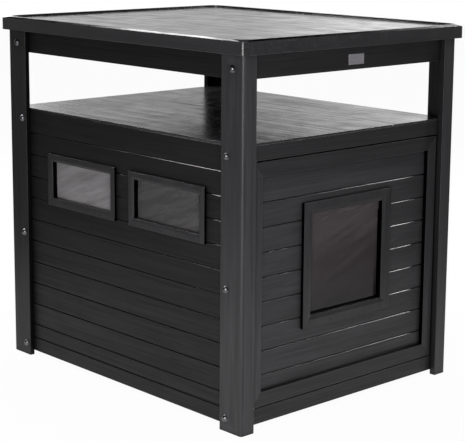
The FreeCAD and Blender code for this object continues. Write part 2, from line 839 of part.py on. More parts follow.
def make_windows(side):
    """Two mitred window frames, their panes and the rings that hold the panes."""
    retainers = []
    for end, centre in window_centres().items():
        name = f"{SIDE_NAMES[side]}_{END_NAMES[end]}"
        frame = mitred_frame(f"frame_{name}", "YZ", centre, "window_width / 2",
                             "window_bottom", "window_top", "window_member",
                             between(side, "wall_face_x", "window_front_x"),
                             between(side, "pane_front_x", "wall_face_x"),
                             ("window_bevel", f"{side} * (window_front_x - window_bevel_depth)",
                              f"{side} * (window_front_x)"))
        node(frame, f"window_frame_{name}")
        across, up = window_outline(centre, "lining_thickness - clearance")
        pane = framed_block(f"pane_{name}", "YZ", across,
                            between(side, "pane_back_x", "pane_front_x"), up)
        node(pane, f"window_pane_{name}")
        deep = between(side, "pane_back_x - retainer_depth", "pane_back_x")
        ring = framed_block(f"retainer_{name}", "YZ", across, deep, up)
        hole_across, hole_up = window_outline(centre, "0")
        hole = framed_block(f"retainer_hole_{name}", "YZ", hole_across, deep, hole_up)
        retainers.append(cut(f"retainer_{name}", ring, hole))
    node(group(f"retainers_{SIDE_NAMES[side]}", retainers), f"pane_retainers_{SIDE_NAMES[side]}")


# ---------------------------------------------------------------- door

def pivot_rods(name, low_span, high_span, radius):
    """Two upright rods on the door's turning axis, one at the bottom and one at the top."""
    return [rod(f"{name}_{number}", "z", start, end, radius, x="-(pivot_x)", y="-(pivot_y)")
            for number, (start, end) in enumerate((low_span, high_span))]


def make_door_frame():
    """Four mitred members, grooved inside for the planks and bored for the pivots."""
    left, right = around("0", "door_half")
    field_left, field_right = around("0", "door_field_x")
    outer = [(left, "door_bottom"), (right, "door_bottom"), (right, "door_top"), (left, "door_top")]
    inner = [(field_left, "door_field_low"), (field_right, "door_field_low"),
             (field_right, "door_field_high"), (field_left, "door_field_high")]
    groove = block("door_groove", around("0", "door_field_x + groove_depth"),
                   between(FRONT, "panel_back_y - clearance / 2", "panel_front_y + clearance / 2"),
                   ("door_field_low - groove_depth", "door_field_high + groove_depth"))
    bores = group("door_bores", pivot_rods("door_bore",
                                           (f"door_bottom - {OVERRUN}",
                                            "door_bottom + pivot_length"),
                                           ("door_top - pivot_length", f"door_top + {OVERRUN}"),
                                           "pivot_radius"))
    names = ["door_rail_bottom", "door_stile_right", "door_rail_top", "door_stile_left"]
    for number, name in enumerate(names):
        following = (number + 1) % 4
        outline = [outer[number], outer[following], inner[following], inner[number]]
        member = prism(name + "_bar", "XZ", outline, *FRONT_DEEP)
        node(cut(name, member, groove, bores), name)


def make_door_planks():
    """The planks in the door's grooves, with the hole for the entry."""
    play = "groove_depth - clearance"
    seams = seam_levels("door_first_seam", "door_field_high", "door_plank_pitch")
    bars = seam_bars("seams_door", "XZ", "-(panel_front_y)", around("0", "door_half"), seams)
    deep = between(FRONT, "panel_back_y", "panel_front_y")
    hole = block("entry_hole", around("entry_centre", "entry_half + lining_thickness"),
                 (f"{deep[0]} - {OVERRUN}", f"{deep[1]} + {OVERRUN}"),
                 ("entry_bottom - lining_thickness", "entry_top + lining_thickness"))
    levels = [f"door_field_low - ({play})", *seams, f"door_field_high + {play}"]
    wall = planks("door_panel", "XZ", around("0", f"door_field_x + {play}"), deep, levels,
                  [bars, hole])
    node(wall, "door_planks")


def make_entry():
    """The mitred frame that lines the entry, and the flat trim round it inside the door."""
    bores = rod("flap_bore", "x", "entry_centre - entry_half - flap_pin_length - clearance",
                "entry_centre + entry_half + flap_pin_length + clearance",
                "flap_pin_radius + running_fit", y="-(flap_y)", z="flap_z")
    frame = mitred_frame("frame_entry", "XZ", "entry_centre", "entry_half", "entry_bottom",
                         "entry_top", "entry_member",
                         between(FRONT, "panel_front_y", "entry_front_y"),
                         between(FRONT, "lining_back_y", "panel_front_y"),
                         ("entry_bevel", "-(entry_front_y - entry_bevel_depth)",
                          "-(entry_front_y)"), [bores])
    node(frame, "entry_frame")
    deep = between(FRONT, "lining_back_y", "panel_back_y")
    inside = "lining_thickness + clearance / 2"
    hole = block("trim_hole", around("entry_centre", f"entry_half + {inside}"), deep,
                 (f"entry_bottom - ({inside})", f"entry_top + {inside}"))
    trim = block("trim", around("entry_centre", "entry_half + trim_width"), deep,
                 ("entry_bottom - trim_width", "entry_top + trim_width"))
    node(cut("entry_trim", trim, hole), "entry_trim")


def make_pivots():
    """The door's two pivot pins and the flanged bushes that they turn in."""
    pins = pivot_rods("pivot_pin",
                      ("rail_top - bush_length + clearance", "door_bottom + pivot_length"),
                      ("door_top - pivot_length", "shelf_rail_bottom + bush_length - clearance"),
                      "pivot_radius")
    node(group("pivot_pins", pins), "door_pivots")
    barrels = pivot_rods("bush_barrel", ("rail_top - bush_length", "rail_top"),
                         ("shelf_rail_bottom", "shelf_rail_bottom + bush_length"),
                         "pivot_radius + bush_wall")
    flanges = pivot_rods("bush_flange_disc", ("rail_top", "rail_top + bush_flange"),
                         ("shelf_rail_bottom - bush_flange", "shelf_rail_bottom"),
                         "bush_flange_radius")
    bores = group("bush_bores", pivot_rods("bush_bore",
                                           (f"rail_top - bush_length - {OVERRUN}",
                                            f"rail_top + bush_flange + {OVERRUN}"),
                                           (f"shelf_rail_bottom - bush_flange - {OVERRUN}",
                                            f"shelf_rail_bottom + bush_length + {OVERRUN}"),
                                           "pivot_radius + running_fit"))
    bushes = [cut(f"bush{number}", fuse(f"bush_body{number}", barrel, flange), bores)
              for number, (barrel, flange) in enumerate(zip(barrels, flanges))]
    node(group("bushes", bushes), "pivot_bushes")


def make_pivot_sockets():
    """The bores in the front rails that hold the bushes."""
    return group("pivot_sockets", pivot_rods("pivot_socket",
                                             ("rail_top - bush_length", f"rail_top + {OVERRUN}"),
                                             (f"shelf_rail_bottom - {OVERRUN}",
                                              "shelf_rail_bottom + bush_length"),
                                             "pivot_radius + bush_wall"))


# ---------------------------------------------------------------- flap

def make_flap():
    """The smoked flap and the slotted rail with end pins that it hangs from."""
    across = around("entry_centre", "flap_half")
    sheet_deep = around("-(flap_y)", "flap_thickness / 2")
    panel_top = "flap_z - flap_pin_radius - flap_pin_cover"
    panel = block("flap", across, sheet_deep, ("entry_bottom + flap_bottom_gap", panel_top))
    node(panel, "flap_panel")
    bar = block("flap_bar", across, around("-(flap_y)", "flap_rail_thickness / 2"),
                ("flap_rail_low", "flap_z + flap_rail_rise"))
    slot = block("flap_slot", (f"{across[0]} - {OVERRUN}", f"{across[1]} + {OVERRUN}"),
                 sheet_deep, (f"flap_rail_low - {OVERRUN}", panel_top))
    pins = rod("flap_pins", "x", "entry_centre - entry_half - flap_pin_length",
               "entry_centre + entry_half + flap_pin_length", "flap_pin_radius",
               y="-(flap_y)", z="flap_z")
    node(cut("flap_rail", fuse("flap_rail_solid", bar, pins), slot), "flap_rail")


# ---------------------------------------------------------------- the whole cabinet

def make_cabinet():
    """Builds every sub-part of the cabinet."""
    shank_bores = {side: bolt_bores(side) for side in (LEFT, RIGHT)}
    wide_bores = {side: insert_bores(side) for side in (LEFT, RIGHT)}
    screw_bores = group("screw_bores", corner_rods("screw_bore", f"apron_bottom - {OVERRUN}",
                                                   "post_height + screw_grip", "screw_radius"))
    pivot_sockets = make_pivot_sockets()
    make_table_top(screw_bores)
    for side in (LEFT, RIGHT):
        for end in (FRONT, BACK):
            make_post(side, end, shank_bores[side])
        make_side_wall(side, shank_bores[side])
        make_windows(side)
        make_bolts(side)
        make_inserts(side, shank_bores[side])
    make_back_wall()
    make_front_frame(pivot_sockets)
    make_battens(shank_bores, wide_bores)
    make_floor(shank_bores, wide_bores)
    make_shelf()
    make_aprons(shank_bores, wide_bores, screw_bores)
    make_top_screws()
    make_plate()
    make_catch()
    make_door_frame()
    make_door_planks()
    make_entry()
    make_pivots()
    make_flap()


def check_document():
    """Stops if any object failed, or if any sub-part has no sound shape."""
    for item in doc.Objects:
        if "Invalid" in item.State or "Error" in item.State:
            raise RuntimeError(f"{item.Label} did not build: {item.State}")
    for piece in nodes:
        if piece.Shape.isNull() or not piece.Shape.isValid() or not piece.Shape.Solids:
            raise RuntimeError(f"{piece.Label} has no sound shape")


def write_parts():
    """Writes one STEP file for each sub-part."""
    os.makedirs("parts", exist_ok=True)
    for piece in nodes:
        piece.Shape.exportStep(f"parts/{piece.Label}.step")
        print(f"{piece.Label}: {len(piece.Shape.Solids)} solids, {piece.Shape.Volume / 1000:.1f} cm3")


fill_sheet()
make_cabinet()
doc.recompute()
check_document()
write_parts()
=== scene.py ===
# %% [markdown]
# # A cat litter box cabinet, dressed for its picture
#
# The cabinet is a dark side table with a plank compartment below, an open shelf above it and a
# moulded top. Its boards are pressed from wood fibre and plastic, so the grain is an emboss in a
# charcoal skin and not a painted pattern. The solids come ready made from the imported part. What
# is left for Blender is the finish of every piece, the softness of every edge, and the light.
#
# The file runs from top to bottom: the frame first, then the camera, the light and the floor,
# then the effects that several finishes share, then the finishes.

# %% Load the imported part
import math

import bpy
from mathutils import Euler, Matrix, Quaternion, Vector

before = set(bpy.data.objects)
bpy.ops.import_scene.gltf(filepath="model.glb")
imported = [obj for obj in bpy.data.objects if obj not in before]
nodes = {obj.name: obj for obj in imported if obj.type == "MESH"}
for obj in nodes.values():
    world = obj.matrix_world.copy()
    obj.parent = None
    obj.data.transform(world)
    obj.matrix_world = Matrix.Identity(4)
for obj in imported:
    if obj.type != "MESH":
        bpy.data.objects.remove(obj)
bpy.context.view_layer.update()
MM = 0.001

# %% [markdown]
# ## The camera
#
# The cabinet was photographed from a little above its top, with the near corner post in the
# middle. A long lens keeps the far edges almost as tall as the near ones. Its place and heading
# were worked out from the straight edges of the object. A small shift lowers the horizon in the
# picture, which keeps the posts nearly upright, as a product photographer does.

# %% Camera
CAMERA_PLACE = Vector((-2.0345, -2.2327, 0.9577))
CAMERA_HEADING = math.radians(42.597)
CAMERA_DIP = math.radians(10.466)
CAMERA_ROLL = math.radians(0.398)
LENS = 112.37
SENSOR_WIDTH = 36
SHIFT_UP = -0.09


def add_camera():
    """The camera stands still; a dip of zero looks level, a heading of zero looks along +Y."""
    data = bpy.data.cameras.new("camera")
    data.lens = LENS
    data.sensor_width = SENSOR_WIDTH
    data.shift_y = SHIFT_UP
    camera = bpy.data.objects.new("camera", data)
    bpy.context.scene.collection.objects.link(camera)
    level = Euler((math.pi / 2 - CAMERA_DIP, 0, -CAMERA_HEADING)).to_quaternion()
    camera.rotation_mode = "QUATERNION"
    camera.rotation_quaternion = level @ Quaternion((0, 0, 1), CAMERA_ROLL)
    camera.location = CAMERA_PLACE
    bpy.context.scene.camera = camera
    return camera


camera = add_camera()
print(camera.name, "is", round(camera.location.length, 2), "m from the foot of the cabinet")

# %% [markdown]
# ## Building node trees by name
#
# A material or an effect is a small tree of nodes. A few helpers keep the trees readable. One
# adds a node and sets what is named, and the others each make one common kind of node and hand
# back its answer, so a tree reads like a sum.

# %% Helpers for nodes
def fill(tree, socket, value):
    """Gives a socket its value; another node's socket becomes a link."""
    if isinstance(value, bpy.types.NodeSocket):
        tree.links.new(value, socket)
    else:
        socket.default_value = value


def add_node(tree, kind, inputs=None, **settings):
    """A new node with its settings and its sockets filled."""
    made = tree.nodes.new(kind)
    for name, value in settings.items():
        setattr(made, name, value)
    for key, value in (inputs or {}).items():
        fill(tree, made.inputs[key], value)
    return made


def maths(tree, operation, first, second=0.0, clamp=False):
    """One Math node: its answer."""
    settings = {"operation": operation, "use_clamp": clamp}
    return add_node(tree, "ShaderNodeMath", {0: first, 1: second}, **settings).outputs[0]


def vector_maths(tree, operation, first, second=(0, 0, 0)):
    """One Vector Math node: its vector, or its number where the operation gives one."""
    made = add_node(tree, "ShaderNodeVectorMath", {0: first, 1: second}, operation=operation)
    return made.outputs["Value" if operation in ("DOT_PRODUCT", "LENGTH") else "Vector"]


def upward(tree, vector):
    """The Z part of a vector."""
    return add_node(tree, "ShaderNodeSeparateXYZ", {0: vector}).outputs["Z"]


def ramp(tree, value, low, high, to_low=0.0, to_high=1.0, curve="LINEAR"):
    """The value stretched from one range to another, and held inside it."""
    inputs = {"Value": value, "From Min": low, "From Max": high,
              "To Min": to_low, "To Max": to_high}
    made = add_node(tree, "ShaderNodeMapRange", inputs, interpolation_type=curve)
    return made.outputs["Result"]


def gather(tree, operation, *pairs):
    """Values, each times its share, added up with ADD, or the largest of them with MAXIMUM."""
    total = None
    for value, share in pairs:
        part = maths(tree, "MULTIPLY", value, share)
        total = part if total is None else maths(tree, operation, total, part)
    return total


def noise(tree, place, scale, detail, roughness=0.5, distortion=0.0):
    """One Noise Texture node: its value."""
    inputs = {"Vector": place, "Scale": scale, "Detail": detail, "Roughness": roughness,
              "Distortion": distortion}
    return add_node(tree, "ShaderNodeTexNoise", inputs).outputs["Fac"]


def blend_colours(tree, share, first, second):
    """A mix of two colours."""
    inputs = {"Factor": share, 6: first, 7: second}
    return add_node(tree, "ShaderNodeMix", inputs, data_type="RGBA").outputs[2]


print("helpers for nodes ready")

# %% [markdown]
# ## Shader groups
#
# An effect that many finishes share is built once, as a group with named inputs and outputs, and
# then placed in each material with its own values. One helper opens a group and another places
# it.

# %% Helpers for groups
FLOAT = "NodeSocketFloat"
VECTOR = "NodeSocketVector"


def new_group(name, inputs, outputs):
    """An empty shader group. Inputs are lists of (name, socket kind, value), outputs of two."""
    group = bpy.data.node_groups.new(name, "ShaderNodeTree")
    for label, kind, value in inputs:
        socket = group.interface.new_socket(label, in_out="INPUT", socket_type=kind)
        socket.default_value = value
    for label, kind in outputs:
        group.interface.new_socket(label, in_out="OUTPUT", socket_type=kind)
    entry = group.nodes.new("NodeGroupInput")
    leave = group.nodes.new("NodeGroupOutput")
    return group, entry.outputs, leave.inputs


def place_group(tree, group, **inputs):
    """The group in a tree; an input named edge_width fills the socket called Edge Width."""
    made = add_node(tree, "ShaderNodeGroup", node_tree=group)
    for name, value in inputs.items():
        fill(tree, made.inputs[name.replace("_", " ").title()], value)
    return made.outputs


print("helpers for groups ready")

# %% [markdown]
# ## The studio
#
# Dark furniture is shown on white, and lit so that its edges draw themselves. A wide, weak sky
# fills every face. A soft box low at the near corner lights the door and the wall beside it, and
# the boxes at the left, right, back and overhead light the rest. A tall strip only makes a line
# on the near post's round edge, so it is kept out of the plain light. Two narrow boxes stand
# high at the right and behind, to put a bright line on the lower lip of each plank seam.
#
# The white behind the cabinet isn't made with light. The world and the floor look white to rays
# that come from the camera, and to rays that come off a glossy or a clear surface, so the smooth
# boards and the panes mirror a white room. That room is brighter to the right, and dark overhead
# as a ceiling is.

# %% Picture settings and world
bpy.context.scene.view_settings.view_transform = "Standard"
SKY_LEVEL = 0.16
ROOM_LEVEL = 0.78
ROOM_FADE = (0.16, 0.45)
CEILING_LEVEL = 0.04
SIDE_LEVEL = 0.12
BACKDROP_FADE = (0.1, 0.8)
MIDDLE_DIP = 0.90
MIDDLE_FADE = (0.56, 0.64)
RIGHT_GLOW = 2.3
RIGHT_FADE = (0.68, 0.78)
BACKDROP_WAY = (math.sin(CAMERA_HEADING), math.cos(CAMERA_HEADING), 0)


def light_world():
    """White where it is seen, a white room where it is mirrored, a weak grey where it lights."""
    world = bpy.data.worlds.new("studio")
    bpy.context.scene.world = world
    world.use_nodes = True
    tree = world.node_tree
    tree.nodes.clear()
    path = add_node(tree, "ShaderNodeLightPath").outputs
    direction = add_node(tree, "ShaderNodeTexCoord").outputs["Generated"]
    parts = add_node(tree, "ShaderNodeSeparateXYZ", {0: direction}).outputs
    facing = vector_maths(tree, "DOT_PRODUCT", direction, BACKDROP_WAY)
    room = ramp(tree, parts["Z"], *ROOM_FADE, ROOM_LEVEL, 0.0)
    for value, fade, start, end in ((facing, BACKDROP_FADE, SIDE_LEVEL, 1.0),
                                    (parts["X"], MIDDLE_FADE, 1.0, MIDDLE_DIP),
                                    (parts["X"], RIGHT_FADE, 1.0, RIGHT_GLOW)):
        room = maths(tree, "MULTIPLY", room, ramp(tree, value, *fade, start, end))
    room = maths(tree, "MAXIMUM", room, CEILING_LEVEL)
    more = maths(tree, "SUBTRACT", room, SKY_LEVEL)
    mirrored = maths(tree, "MULTIPLY", path["Is Glossy Ray"], more)
    level = maths(tree, "ADD", mirrored, SKY_LEVEL)
    seen = maths(tree, "MAXIMUM", path["Is Camera Ray"], path["Is Transmission Ray"])
    level = maths(tree, "MAXIMUM", level, seen)
    shade = add_node(tree, "ShaderNodeBackground", {"Color": (1, 1, 1, 1), "Strength": level})
    add_node(tree, "ShaderNodeOutputWorld", {"Surface": shade.outputs[0]})


light_world()
print("sky level", SKY_LEVEL)

# %% Soft boxes
MIDDLE_OF_CABINET = Vector((0, 0, 0.38))
NEAR_CORNER = Vector((-0.29, -0.36, 0.3))


def add_softbox(name, place, width, height, watts, aim=MIDDLE_OF_CABINET):
    """A rectangular lamp that looks at a point of the cabinet and isn't seen itself."""
    data = bpy.data.lights.new(name, "AREA")
    data.shape = "RECTANGLE"
    data.size = width
    data.size_y = height
    data.energy = watts
    lamp = bpy.data.objects.new(name, data)
    bpy.context.scene.collection.objects.link(lamp)
    lamp.location = place
    lamp.rotation_mode = "QUATERNION"
    lamp.rotation_quaternion = (aim - lamp.location).to_track_quat("-Z", "Y")
    lamp.visible_camera = False
    return lamp


corner_box = add_softbox("corner box", (-1.20, -1.45, 0.30), 0.8, 0.5, 29, NEAR_CORNER)
corner_box.visible_glossy = False
arris_strip = add_softbox("arris strip", (-2.40, -1.05, 0.60), 0.45, 1.6, 36, NEAR_CORNER)
arris_strip.visible_diffuse = False
softboxes = [
    corner_box,
    arris_strip,
    add_softbox("left box", (-2.60, 0.10, 0.50), 0.3, 1.1, 3, NEAR_CORNER),
    add_softbox("overhead box", (0.2, 0.4, 3.3), 2.2, 2.2, 30),
    add_softbox("right box", (2.6, 0.4, 1.2), 1.2, 1.2, 18),
    add_softbox("back box", (0.6, 2.6, 1.2), 1.2, 1.2, 18),
    add_softbox("right seam light", (1.98, -0.90, 1.77), 0.25, 0.65, 24),
    add_softbox("back seam light", (-0.69, 1.50, 2.16), 0.35, 0.35, 24),
]
print("soft boxes:", ", ".join(f"{lamp.name} {lamp.data.energy:.0f} W" for lamp in softboxes))

# %% [markdown]
# ## The floor
#
# The floor is a plain pale sheet. To the camera it is mostly its own white, with a little of the
# light that falls on it, so the shadow under the cabinet stays but never turns grey. A glossy
# board mirrors a pool of white round the cabinet, which fades with the distance and is a little
# weaker at the foot. The light that the floor throws back is halved, so the low planks stay
# dark.

# %% Floor
FLOOR_SIDE = 16
FLOOR_DROP = 0.1 * MM
FLOOR_COLOUR = (0.80, 0.80, 0.80, 1)
BOUNCE_COLOUR = (0.40, 0.40, 0.40, 1)
OWN_WHITE = 0.96
FOOT_SHADE = 0.90
FOOT_FADE = (0.45, 0.90)
POOL_REST = 0.07
POOL_FADE = (0.8, 1.7)


def floor_material():
    """White to the camera and in mirrors, and a plain matt sheet to the light."""
    material = bpy.data.materials.new("pale floor")
    material.use_nodes = True
    tree = material.node_tree
    tree.nodes.clear()
    path = add_node(tree, "ShaderNodeLightPath").outputs
    pale = blend_colours(tree, path["Is Diffuse Ray"], FLOOR_COLOUR, BOUNCE_COLOUR)
    lit = add_node(tree, "ShaderNodeBsdfDiffuse", {"Color": pale}).outputs[0]
    place = add_node(tree, "ShaderNodeTexCoord").outputs["Object"]
    reach = vector_maths(tree, "LENGTH", place)
    pool = ramp(tree, reach, *POOL_FADE, 1.0, POOL_REST, curve="SMOOTHSTEP")
    pool = maths(tree, "MULTIPLY", pool, ramp(tree, reach, *FOOT_FADE, FOOT_SHADE, 1.0))
    glow = maths(tree, "MAXIMUM", pool, path["Is Camera Ray"])
    white = add_node(tree, "ShaderNodeEmission", {"Strength": glow}).outputs[0]
    mirrored = maths(tree, "MAXIMUM", path["Is Glossy Ray"], path["Is Transmission Ray"])
    seen = maths(tree, "MULTIPLY", path["Is Camera Ray"], OWN_WHITE)
    share = maths(tree, "MAXIMUM", mirrored, seen)
    surface = add_node(tree, "ShaderNodeMixShader", {0: share, 1: lit, 2: white}).outputs[0]
    add_node(tree, "ShaderNodeOutputMaterial", {"Surface": surface})
    return material


def add_floor():
    """One square face, a hair below the feet of the cabinet."""
    mesh = bpy.data.meshes.new("floor")
    half = FLOOR_SIDE / 2
    corners = [(-half, -half, 0), (half, -half, 0), (half, half, 0), (-half, half, 0)]
    mesh.from_pydata(corners, [], [(0, 1, 2, 3)])
    floor = bpy.data.objects.new("floor", mesh)
    floor.location.z = -FLOOR_DROP
    bpy.context.scene.collection.objects.link(floor)
    mesh.materials.append(floor_material())
    return floor


floor = add_floor()
print("floor", FLOOR_SIDE, "m square")

# %% [markdown]
# ## Effect: pressed grain
#
# The boards carry a wood grain that was pressed into them: long shallow hollows that run with
# the board, and broad bands where the mix came out a little darker or lighter. Noise that is
# squeezed across the board and drawn out along it gives both. The group takes the number of
# cells per metre on each axis, so one group serves boards that lie in any direction. Random Per
# Island shifts the pattern from one face to the next, so no streak runs on from plank to plank.

# %% Pressed grain group
PLANK_SHIFT = 37.0
STREAK_FADE = (0.34, 0.68)
BAND_FADE = (0.35, 0.65)
FINE_RELIEF = 0.75
BROAD_RELIEF = 0.25


def pressed_grain():
    """Streaks, bands, the height of the emboss, and a value of each plank's own."""
    group, given, answers = new_group(
        "pressed grain",
        [("Place", VECTOR, (0, 0, 0)), ("Cells", VECTOR, (5, 5, 250)),
         ("Band Share", FLOAT, 0.16)],
        [("Streaks", FLOAT), ("Bands", FLOAT), ("Height", FLOAT), ("Plank", FLOAT)])
    plank = add_node(group, "ShaderNodeNewGeometry").outputs["Random Per Island"]
    cells = vector_maths(group, "MULTIPLY", given["Place"], given["Cells"])
    moved = vector_maths(group, "ADD", cells, maths(group, "MULTIPLY", plank, PLANK_SHIFT))
    fine = noise(group, moved, 1.0, 5.0, roughness=0.62)
    broad = noise(group, moved, given["Band Share"], 2.0)
    height = gather(group, "ADD", (fine, FINE_RELIEF), (broad, BROAD_RELIEF))
    fill(group, answers["Streaks"], ramp(group, fine, *STREAK_FADE))
    fill(group, answers["Bands"], ramp(group, broad, *BAND_FADE))
    fill(group, answers["Height"], height)
    fill(group, answers["Plank"], plank)
    return group


grain_group = pressed_grain()
print("group:", grain_group.name, [item.name for item in grain_group.interface.items_tree])

# %% [markdown]
# ## Effect: worn edges
#
# Where hands and cloths pass, the charcoal skin thins and an edge turns paler. A normal that is
# rounded off near edges differs from the true one exactly there, so the difference is the mask.
# A patchy noise breaks the line up, because wear is never even. The rounded normal is a second
# answer: a board that is shaded with it shows soft edges, and its mesh stays as light as it is.

# %% Worn edge group
TURN_FADE = (0.01, 0.22)
PATCH_FADE = (0.35, 0.6)
LEAST_WEAR = 0.35


def worn_edges():
    """The mask of the worn edges, and the normal that rounds them."""
    group, given, answers = new_group(
        "worn edges",
        [("Edge Width", FLOAT, 1.2 * MM), ("Patch Size", FLOAT, 0.03)],
        [("Wear", FLOAT), ("Rounded", VECTOR)])
    bevel = add_node(group, "ShaderNodeBevel", {"Radius": given["Edge Width"]}, samples=6)
    rounded = bevel.outputs["Normal"]
    true = add_node(group, "ShaderNodeNewGeometry").outputs["Normal"]
    turned = maths(group, "SUBTRACT", 1.0, vector_maths(group, "DOT_PRODUCT", rounded, true))
    line = ramp(group, turned, *TURN_FADE)
    place = add_node(group, "ShaderNodeTexCoord").outputs["Object"]
    patches = noise(group, place, maths(group, "DIVIDE", 1.0, given["Patch Size"]), 3.0)
    wear = maths(group, "MULTIPLY", line, ramp(group, patches, *PATCH_FADE, LEAST_WEAR, 1.0))
    fill(group, answers["Wear"], wear)
    fill(group, answers["Rounded"], rounded)
    return group


wear_group = worn_edges()
print("group:", wear_group.name)

# %% [markdown]
# ## Effect: painted crease shade
#
# Shade gathers in the corners where two boards meet, and the finishes paint it there as a dark
# colour: painted shade. Ambient occlusion asks how much of the sky over a point its neighbours
# hide. Close to a corner that is much, so it makes a mask for the narrow dark lines round the door
# and the frames.

# %% Painted crease shade group
OPEN_FADE = (0.25, 0.80)


def painted_crease_shade():
    """The mask of the corners between boards, for painted shade."""
    group, given, answers = new_group("painted_crease_shade", [("Reach", FLOAT, 10 * MM)], [("Crease Shade", FLOAT)])
    sky = add_node(group, "ShaderNodeAmbientOcclusion", {"Distance": given["Reach"]}, samples=4)
    fill(group, answers["Crease Shade"], ramp(group, sky.outputs["AO"], *OPEN_FADE, 1.0, 0.0))
    return group


crease_shade_group = painted_crease_shade()
print("group:", crease_shade_group.name)

# %% [markdown]
# ## Effect: cut lips
#
# The V between two planks is a cut through the pressed skin, and so is any bevel that leans up.
# The cutter leaves it smoother than the skin, so it catches a lamp that stands high. The group
# finds these faces by their normal in the object's own space, so a turned door keeps its lips.
# Its second answer marks the faces that look down, where hardly any light comes, and the finishes
# paint them dark as painted shade.

# %% Cut lip group
LEAN_IN = 0.15
LEAN_OUT = 0.06
SOFFIT_FADE = (-0.45, -0.2)


def cut_lips():
    """The masks of the bevels that lean up and of the faces that look down."""
    group, given, answers = new_group(
        "cut lips",
        [("Lean From", FLOAT, 0.35), ("Lean To", FLOAT, 0.92)],
        [("Lip", FLOAT), ("Soffit", FLOAT)])
    lean = upward(group, add_node(group, "ShaderNodeTexCoord").outputs["Normal"])
    rising = ramp(group, maths(group, "SUBTRACT", lean, given["Lean From"]), 0.0, LEAN_IN)
    falling = ramp(group, maths(group, "SUBTRACT", given["Lean To"], lean), 0.0, LEAN_OUT)
    fill(group, answers["Lip"], maths(group, "MULTIPLY", rising, falling))
    fill(group, answers["Soffit"], ramp(group, lean, *SOFFIT_FADE, 1.0, 0.0))
    return group


lip_group = cut_lips()
print("group:", lip_group.name)

# %% [markdown]
# ## Effect: sheltered faces
#
# The side of a frame and the inner side of a post look into a gap, where little light goes in and
# none comes out. The finishes paint them as black bands beside the paler fronts: painted shade.
# One answer marks what doesn't look along the piece's front and doesn't look up, which suits the
# frames and the stiles. The other marks what looks to the middle of the cabinet, and suits the
# posts.

# %% Sheltered face group
ASIDE_FADE = (0.3, 0.6)
INWARD_FADE = (-0.18, -0.08)


def sheltered_faces():
    """The masks of the faces beside a front, and of the faces that look inward."""
    group, given, answers = new_group(
        "sheltered faces", [("Front", VECTOR, (1, 0, 0))], [("Reveal", FLOAT), ("Inward", FLOAT)])
    own = add_node(group, "ShaderNodeTexCoord").outputs
    ahead = vector_maths(group, "DOT_PRODUCT", own["Normal"], given["Front"])
    aside = ramp(group, maths(group, "ABSOLUTE", ahead), *ASIDE_FADE, 1.0, 0.0)
    not_up = ramp(group, upward(group, own["Normal"]), *ASIDE_FADE, 1.0, 0.0)
    level = vector_maths(group, "MULTIPLY", own["Object"], (1, 1, 0))
    outward = vector_maths(group, "DOT_PRODUCT", own["Normal"], level)
    fill(group, answers["Reveal"], maths(group, "MULTIPLY", aside, not_up))
    fill(group, answers["Inward"], ramp(group, outward, *INWARD_FADE, 1.0, 0.0))
    return group


shelter_group = sheltered_faces()
print("group:", shelter_group.name)

# %% [markdown]
# ## Effect: dust and smudges
#
# A shelf and a table top are wiped in strokes, and dust settles again between them. The group
# gives a mask of thin dust on faces that look up, and a slow smudge that changes the gloss.

# %% Dust and smudge group
SPECKS_PER_METRE = 900.0
SPECK_FADE = (0.5, 0.75)
SMUDGE_FADE = (0.3, 0.7)
UP_FADE = (0.6, 0.95)


def dust_and_smudges():
    """The mask of the dust, and the smudge."""
    group, given, answers = new_group(
        "dust and smudges", [("Smudge Size", FLOAT, 0.06)], [("Dust", FLOAT), ("Smudge", FLOAT)])
    up = upward(group, add_node(group, "ShaderNodeNewGeometry").outputs["Normal"])
    place = add_node(group, "ShaderNodeTexCoord").outputs["Object"]
    grains = noise(group, place, SPECKS_PER_METRE, 2.0)
    scale = maths(group, "DIVIDE", 1.0, given["Smudge Size"])
    slow = noise(group, place, scale, 4.0, roughness=0.55, distortion=0.6)
    smudge = ramp(group, slow, *SMUDGE_FADE)
    specks = ramp(group, grains, *SPECK_FADE)
    settled = maths(group, "MULTIPLY", specks, smudge)
    fill(group, answers["Dust"], maths(group, "MULTIPLY", ramp(group, up, *UP_FADE), settled))
    fill(group, answers["Smudge"], smudge)
    return group


dust_group = dust_and_smudges()
print("group:", dust_group.name)

# %% [markdown]
# ## Materials and the pieces that wear them
#
# Every finish below is one material with one Principled shader. It goes to all the nodes of a
# kind, which are found by the start of their names.

# %% Helpers for finishes
COOL_TINT = (1.02, 0.98, 1.06)


def new_material(name):
    """A material with one Principled shader, and its tree."""
    material = bpy.data.materials.new(name)
    material.use_nodes = True
    tree = material.node_tree
    tree.nodes.clear()
    shader = add_node(tree, "ShaderNodeBsdfPrincipled")
    add_node(tree, "ShaderNodeOutputMaterial", {"Surface": shader.outputs[0]})
    return material, tree, shader


def grey(level, tint=COOL_TINT):
    """A grey of one level, with a faint tint."""
    return (level * tint[0], level * tint[1], level * tint[2], 1)


def dress(material, *starts):
    """Gives a finish to every node whose name starts with one of these words."""
    found = [name for name in nodes if name.startswith(starts)]
    for name in found:
        nodes[name].material_slots[0].material = material
    print(f"{material.name}: {len(found)} nodes")
    return found


dressed = []
print("helpers for finishes ready")

# %% [markdown]
# ## Finish: charcoal board
#
# Every board of the carcass has the same skin, but its grain runs with the board. So one
# function makes the finish, and each call gives the direction, the two tones of the grain, the
# gloss and the depth of the emboss. The tones stay close together: near black with fine streaks.
#
# The corners, the sheltered faces and the faces that look down are painted almost black: painted
# shade, where little light reaches. A dark colour alone doesn't do that, because a board mirrors a
# little of the room at any colour. So the same mask also drives Metallic: a metal mirrors only its
# own colour, and a black one mirrors nothing.

# %% Charcoal board
STREAK_TONE, BAND_TONE, PLANK_TONE = 0.6, 0.3, 0.2
WORN_GREY, WORN_SHARE = 0.09, 0.6
DUST_GREY, DUST_SHARE = 0.35, 0.12
PAINTED_SHADE_GREY, SOFFIT_SHADE_SHARE = 0.001, 0.8
STREAK_ROUGH, SMUDGE_ROUGH, LIP_ROUGH = -0.14, 0.08, 0.24


